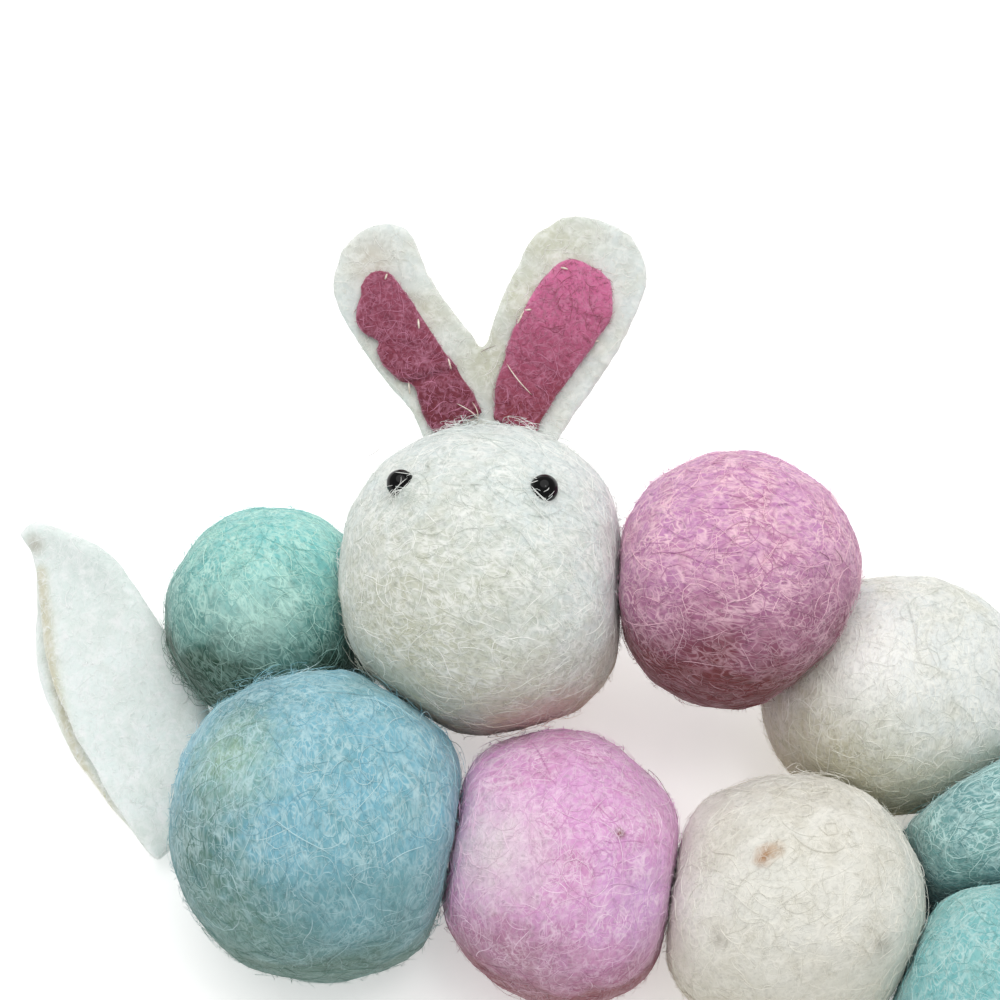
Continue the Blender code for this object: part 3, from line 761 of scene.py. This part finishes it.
def ball_fibres(wool, mesh):
    """The loose fibres of a ball: long curls that lie on it, short fuzz, and hairs pulled out in places."""
    picker = np.random.default_rng(wool.seed)
    skin = tree_of(mesh)
    matted = surface_spots(mesh, MATTED_A_MM2, picker)
    curls = surface_spots(mesh, CURLED_A_MM2, picker)
    fuzz = surface_spots(mesh, FUZZED_A_MM2, picker)
    turn = math.radians(wool.turn)
    flow = FACE_TURN @ Vector((math.cos(turn), math.sin(turn), 0.0)) * (1.2 / wool.stretch - 1.0)
    batches = [
        grow(skin, matted, picker, flow, MATTED),
        grow(skin, curls, picker, flow, CURLED),
        grow(skin, fuzz, picker, flow, FUZZED),
    ]
    for tuft in wool.tufts:
        middle = Vector((tuft.x, tuft.y, tuft.z))
        reach = tuft.radius / 2
        starts = [middle + Vector(picker.normal(size=3)) * reach for _ in range(tuft.count)]
        lengths, rises = (0.6 * tuft.length, 1.5 * tuft.length), (0.2 * tuft.rise, tuft.rise)
        pulled_out = PULLED_OUT._replace(length=lengths, rise=rises)
        batches.append(grow(skin, starts, picker, flow, pulled_out))
    return tube_mesh(wool.node + "_fibres", batches)


def make_ball(wool):
    skin = felt_ball(wool)
    ball = new_piece(wool.node + "_felt", skin, felted_wool(wool), wool.node)
    new_piece(wool.node + "_fibres", ball_fibres(wool, skin), loose_wool(wool))
    return skin


def felt_nap(name, mesh, look, seed, curls_a_mm2, fuzz_a_mm2, fuzz_rise=NAPPED.rise):
    """The short nap of a piece of pressed felt, with a few longer fibres matted into it."""
    picker = np.random.default_rng(seed)
    skin = tree_of(mesh)
    curls = surface_spots(mesh, curls_a_mm2, picker)
    fuzz = surface_spots(mesh, fuzz_a_mm2, picker)
    batches = [
        grow(skin, curls, picker, ANY_WAY, PRESSED),
        grow(skin, fuzz, picker, ANY_WAY, NAPPED._replace(rise=fuzz_rise)),
    ]
    new_piece(name, tube_mesh(name, batches), look)


def face_point(across, up, out):
    """Point in the row frame of a place on the rabbit's face, in millimetres."""
    return HEAD_CENTRE + FACE_TURN @ Vector((across, up, out))


def face_place(point):
    """Place on the rabbit's face of a point in the row frame: across, up the face and out."""
    return FACE_TURN.transposed() @ (Vector(point) - HEAD_CENTRE)


def front_of(trees, across, up):
    """How far out the front of the felt is at a place on the ears."""
    way = FACE_TURN @ Vector((0.0, 0.0, -1.0))
    origin = face_point(across, up, IN_FRONT)
    depths = [found[3] for found in (tree.ray_cast(origin, way) for tree in trees) if found[0]]
    return IN_FRONT - min(depths) if depths else EAR_FRONT


def make_ears():
    """The ears' white felt, with a short nap."""
    shape = cut_felt("ears", 0.42, 5, ((5.0, 0.35), (1.8, 0.14)), 31)
    mesh = finished(shape, "ears_felt")
    look = pressed_felt("thick_white_felt", mesh, "#DDE4E1", "#D3D4C6", "#F6F8F3", 31.0, EAR_STAINS)
    piece = new_piece("ears_felt", mesh, look, "ears")
    nap = plain_fibres("white_felt_nap", "#E6E7DF", "#FAFAF5")
    felt_nap("ears_nap", mesh, nap, 32, 0.14, 1.0)
    return mesh


def beside_line(place, start, end):
    """How far a place is from a line, and how far along the line, as a share of it."""
    line = Vector(end) - Vector(start)
    along = max(0.0, min(1.0, (place - Vector(start)).dot(line) / line.length_squared))
    return (place - Vector(start) - line * along).length, along


def crease_line(place, start, end, width):
    """How deep a crease is at a place on the face: 1 on its line, 0 a width away."""
    gap, along = beside_line(place, start, end)
    return math.sin(math.pi * (0.15 + 0.7 * along)) * math.exp(-((gap / width) ** 2))


def make_lining(side, creases, seed, look, nap):
    """Pink lining of an ear, puffed between its creases."""
    node = "inner_ear_" + side
    shape = cut_felt(node, 0.25, 5, ((3.0, 0.22), (1.2, 0.09)), seed)
    out = FACE_TURN @ Vector((0.0, 0.0, 1.0))
    for vertex in shape.verts:
        place = face_place(vertex.co)
        if vertex.normal.dot(out) > 0.2:
            spot = Vector((place.x, place.y))
            dents = [deep * crease_line(spot, start, end, wide) for start, end, wide, deep in creases]
            vertex.co -= out * sum(dents)
    mesh = finished(shape, node + "_felt")
    piece = new_piece(node + "_felt", mesh, look, node)
    felt_nap(node + "_nap", mesh, nap, seed + 1, 0.5, 1.8)
    return mesh


def pull_leaf(shape):
    """Widens the leaf where it is caught between the teal and the blue ball."""
    folds, ups = zip(*LEAF_FOLD)
    for vertex in shape.verts:
        place = face_place(vertex.co)
        fold = np.interp(-place.y, [-up for up in ups], folds)
        share = max(0.0, (place.x - fold) / LEAF_WIDTH)
        near = math.exp(-(((place.y - LEAF_PULL_UP) / LEAF_PULL_REACH) ** 2))
        vertex.co.x += LEAF_PULL * share * near


def mark_fold(mesh):
    """Notes for each point of the leaf how near the fold it is."""
    marks = mesh.attributes.new("near_fold", "FLOAT", "POINT")
    for vertex, mark in zip(mesh.vertices, marks.data):
        place = face_place(vertex.co / MM)
        lines = zip(LEAF_FOLD, LEAF_FOLD[1:])
        gap = min(beside_line(Vector((place.x, place.y)), start, end)[0] for start, end in lines)
        mark.value = math.exp(-((gap / FOLD_WIDTH) ** 2))


def make_leaf():
    """The leaf's folded white felt, with a soft nap that shows along its fold."""
    shape = bmesh.new()
    shape.from_mesh(NODES["folded_leaf"].data)
    for vertex in shape.verts:
        vertex.co /= MM
    bmesh.ops.remove_doubles(shape, verts=shape.verts, dist=0.001)
    bmesh.ops.subdivide_edges(shape, edges=shape.edges, cuts=1, use_grid_fill=True)
    smooth(shape, 2)
    bmesh.ops.subdivide_edges(shape, edges=shape.edges, cuts=1, use_grid_fill=True)
    smooth(shape, 4)
    pull_leaf(shape)
    felt_relief(shape, 41, ((6.0, 0.4), (2.0, 0.12)))
    mesh = finished(shape, "folded_leaf_felt")
    mark_fold(mesh)
    look = pressed_felt("soft_white_felt", mesh, "#ECF5F2", "#E2E9E4", "#FCFEFD", 41.0, LEAF_SHADES)
    piece = new_piece("folded_leaf_felt", mesh, look, "folded_leaf")
    nap = plain_fibres("leaf_nap", "#F0F6F3", "#FFFFFF")
    felt_nap("folded_leaf_nap", mesh, nap, 42, 0.04, 1.1, (0.15, 0.6))


def make_bead(node, look):
    """Eye: a round bead, drilled across."""
    low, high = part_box(node)
    centre, radius = (low + high) / 2 / MM, (high - low).x / 2 / MM
    shape = bmesh.new()
    bmesh.ops.create_uvsphere(shape, u_segments=BEAD_SEGMENTS, v_segments=BEAD_RINGS, radius=radius)
    for vertex in shape.verts:
        from_pole = math.hypot(vertex.co.x, vertex.co.y)
        if from_pole < BEAD_HOLE:
            vertex.co.z *= 0.55 + 0.35 * (from_pole / BEAD_HOLE) ** 2
    turn = Matrix.Rotation(math.pi / 2, 4, "Y")
    shape.transform(Matrix.Translation(centre) @ FACE_TURN.to_4x4() @ turn)
    mesh = finished(shape, node + "_bead")
    new_piece(node + "_bead", mesh, look, node)
    return mesh


def arched(start, end, height, out, steps):
    """Path from one point to another that rises between them."""
    start, end = Vector(start), Vector(end)
    shares = [k / (steps - 1) for k in range(steps)]
    return [start.lerp(end, share) + out * height * math.sin(math.pi * share) for share in shares]


def laid_over(trees, row, lift):
    """Path of a loose thread on the face. It bows sideways and bridges the steps below it."""
    places = []
    for k in range(THREAD_POINTS):
        along = k / (THREAD_POINTS - 1)
        across = row.across + (row.to_across - row.across) * along + row.bow * math.sin(math.pi * along)
        places.append((across, row.up + (row.to_up - row.up) * along))
    fronts = [front_of(trees, across, up) for across, up in places]
    path = []
    for k, (across, up) in enumerate(places):
        raised = lift * math.sin(math.pi * k / (THREAD_POINTS - 1))
        path.append(face_point(across, up, max(fronts[max(0, k - 1) : k + 2]) + raised))
    return path


def threads(name, paths, widths, look):
    """Piece of round threads that lie on the face."""
    paths = np.array(paths)
    ups = np.broadcast_to(np.array(FACE_TURN @ Vector((0.0, 0.0, 1.0))), paths.shape)
    shades = np.full(len(paths), THREAD_SHADE)
    strands = Strands(paths, ups, np.array(widths), shades, THREAD_SIDES, 1.0)
    new_piece(name, tube_mesh(name, [strands], rounded=True), look)


def sew_linings(trees):
    """The hand stitches that hold the linings, each over the lining's edge, and the loose threads."""
    out = FACE_TURN @ Vector((0.0, 0.0, 1.0))
    paths = []
    for stitch in STITCHES:
        turn = math.radians(stitch.turn)
        reach = Vector((math.cos(turn), math.sin(turn))) * stitch.length / 2
        ends = []
        for sign in (-1, 1):
            across, up = stitch.across + sign * reach.x, stitch.up + sign * reach.y
            ends.append(face_point(across, up, front_of(trees, across, up) - 0.05))
        paths.append(arched(ends[0], ends[1], 0.35, out, THREAD_POINTS))
    paths += [laid_over(trees, row, 0.5) for row in LOOSE_THREADS]
    widths = [row.width for row in STITCHES + LOOSE_THREADS]
    threads("lining_stitches", paths, widths, sewing_cotton())


def photo_camera():
    """Camera at the photograph's angle and distance."""
    data = bpy.data.cameras.new("photo_camera")
    data.lens = CAMERA_DISTANCE / (PHOTO_SCALE_MM_A_PIXEL * PHOTO_PIXELS) * SENSOR
    data.sensor_width = SENSOR
    data.clip_start = 0.01
    camera = bpy.data.objects.new("photo_camera", data)
    SCENE.collection.objects.link(camera)
    away = Vector((0.0, -math.cos(CAMERA_ELEVATION), math.sin(CAMERA_ELEVATION)))
    camera.location = (CAMERA_TARGET + away * CAMERA_DISTANCE) * MM
    camera.rotation_euler = (math.pi / 2 - CAMERA_ELEVATION, 0.0, 0.0)
    SCENE.camera = camera


def pale_floor():
    """Plain table of white paper, far larger than the view."""
    made, tree, shader, mm = blank_material("white_paper")
    inputs = {"Vector": mm, "W": 0.0, "Scale": 1.0 / 1.5, "Detail": 2.0, "Distortion": 0.0}
    grain = add(tree, "MapRange", (add(tree, "TexNoise", inputs, **NOISE), 0.3, 0.7))
    colour = add(tree, "Mix", {0: grain, 6: linear("#F9F9F8"), 7: linear("#FCFCFB")}, **RGBA)
    tree.links.new(colour, shader.inputs["Base Color"])
    shader.inputs["Roughness"].default_value = 0.9
    shader.inputs["Specular IOR Level"].default_value = 0.1
    shader.inputs["Emission Color"].default_value = (1.0, 1.0, 1.0, 1.0)
    shader.inputs["Emission Strength"].default_value = 0.35
    shape = bmesh.new()
    bmesh.ops.create_grid(shape, x_segments=2, y_segments=2, size=2.0)
    mesh = bpy.data.meshes.new("floor")
    shape.to_mesh(mesh)
    shape.free()
    mesh.materials.append(made)
    floor = bpy.data.objects.new("floor", mesh)
    SCENE.collection.objects.link(floor)


def soft_light(name, spot, side, watts):
    """Round soft box that looks at the bunch."""
    data = bpy.data.lights.new(name, "AREA")
    data.shape = "DISK"
    data.size = side
    data.energy = watts
    light = bpy.data.objects.new(name, data)
    SCENE.collection.objects.link(light)
    light.location = spot
    light.rotation_euler = (-Vector(spot)).to_track_quat("-Z", "Y").to_euler()


def studio():
    SCENE.view_settings.view_transform = "Standard"
    world = bpy.data.worlds.new("studio")
    world.use_nodes = True
    background = world.node_tree.nodes["Background"]
    background.inputs["Color"].default_value = (1.0, 1.0, 1.0, 1.0)
    background.inputs["Strength"].default_value = 0.53
    SCENE.world = world
    soft_light("top_box", (0.0, 0.25, 0.85), 1.1, 5.1)
    soft_light("glint_box", (0.1, -0.04, 0.6), 0.12, 0.25)


def hang_hairs(skins, ears):
    """The beads for eyes, the pale hairs over them, and a few dark stray hairs."""
    glass = black_glass()
    eyes = [make_bead(node, glass) for node in ("eye_left", "eye_right")]
    face_trees = [tree_of(mesh) for mesh in [skins["rabbit_head"]] + eyes]
    hair_paths = [laid_over(face_trees, row, 0.15) for row in EYE_HAIRS]
    all_trees = [tree_of(mesh) for mesh in list(skins.values()) + [ears]]
    dark_paths = [laid_over(all_trees, row, 0.25) for row in DARK_HAIRS]
    dark_hair = plain_fibres("dark_stray_hairs", "#5A3038", "#6B3D48")
    dark_widths = [row.width for row in DARK_HAIRS]
    threads("dark_stray_hairs", dark_paths, dark_widths, dark_hair)
    pale_hair = plain_fibres("pale_eye_hairs", "#E3E6E1", "#FAFBF7")
    threads("hairs_over_eyes", hair_paths, [row.width for row in EYE_HAIRS], pale_hair)


photo_camera()
studio()
pale_floor()
skins = {ball_wool.node: make_ball(ball_wool) for ball_wool in WOOLS}
ears_mesh = make_ears()
magenta_nap = plain_fibres("magenta_nap", "#96425A", "#D08AA6")
left_pink = pink_felt("left", "#732F3B", "#974A60")
right_pink = pink_felt("right", "#873B48", "#D3749E")
left_mesh = make_lining("left", LEFT_CREASES, 51, left_pink, magenta_nap)
right_mesh = make_lining("right", RIGHT_CREASES, 61, right_pink, magenta_nap)
sew_linings([tree_of(mesh) for mesh in (ears_mesh, left_mesh, right_mesh)])
make_leaf()
hang_hairs(skins, ears_mesh)
